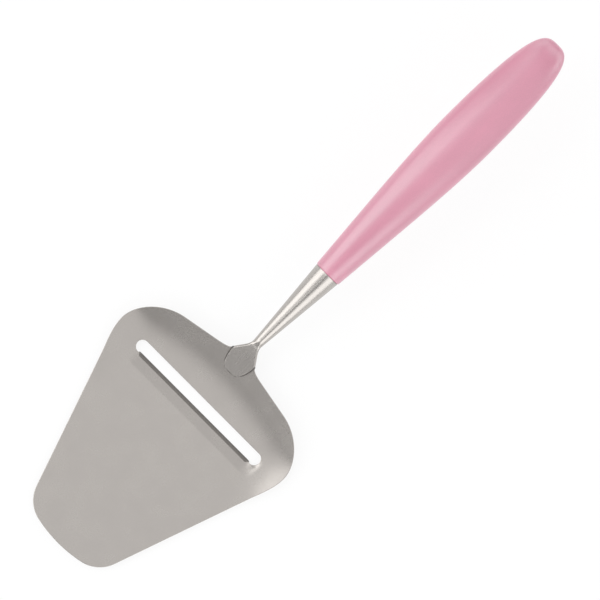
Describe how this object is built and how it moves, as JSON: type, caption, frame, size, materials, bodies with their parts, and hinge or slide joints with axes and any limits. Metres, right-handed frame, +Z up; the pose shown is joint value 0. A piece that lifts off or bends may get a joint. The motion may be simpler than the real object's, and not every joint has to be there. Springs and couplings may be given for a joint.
{
  "type": "cheese slicer",
  "caption": "Slotted flat blade that shaves slices off a block of cheese, on a raised tapered steel shank with an arched oval handle.",
  "frame": {"origin": "middle of the flat sole ahead of the slot, on its underside and on the midline", "axes": "+X along the midline from the blade's tip to the handle, +Y to the left seen from above, +Z up out of the blade"},
  "size_m": [0.2469, 0.0804, 0.0378],
  "materials": {
    "blade_steel": "satin",
    "shank_steel": "satin",
    "weld_steel": "satin",
    "rod_steel": "satin",
    "core_plastic": "matte",
    "pink_plastic": "satin"
  },
  "bodies": {
    "root": {"blade": "blade_steel", "shank": "shank_steel", "weld_front": "weld_steel", "weld_left": "weld_steel", "weld_right": "weld_steel", "rod": "rod_steel", "handle_core": "core_plastic", "handle_shell": "pink_plastic"}
  },
  "joints": []
}
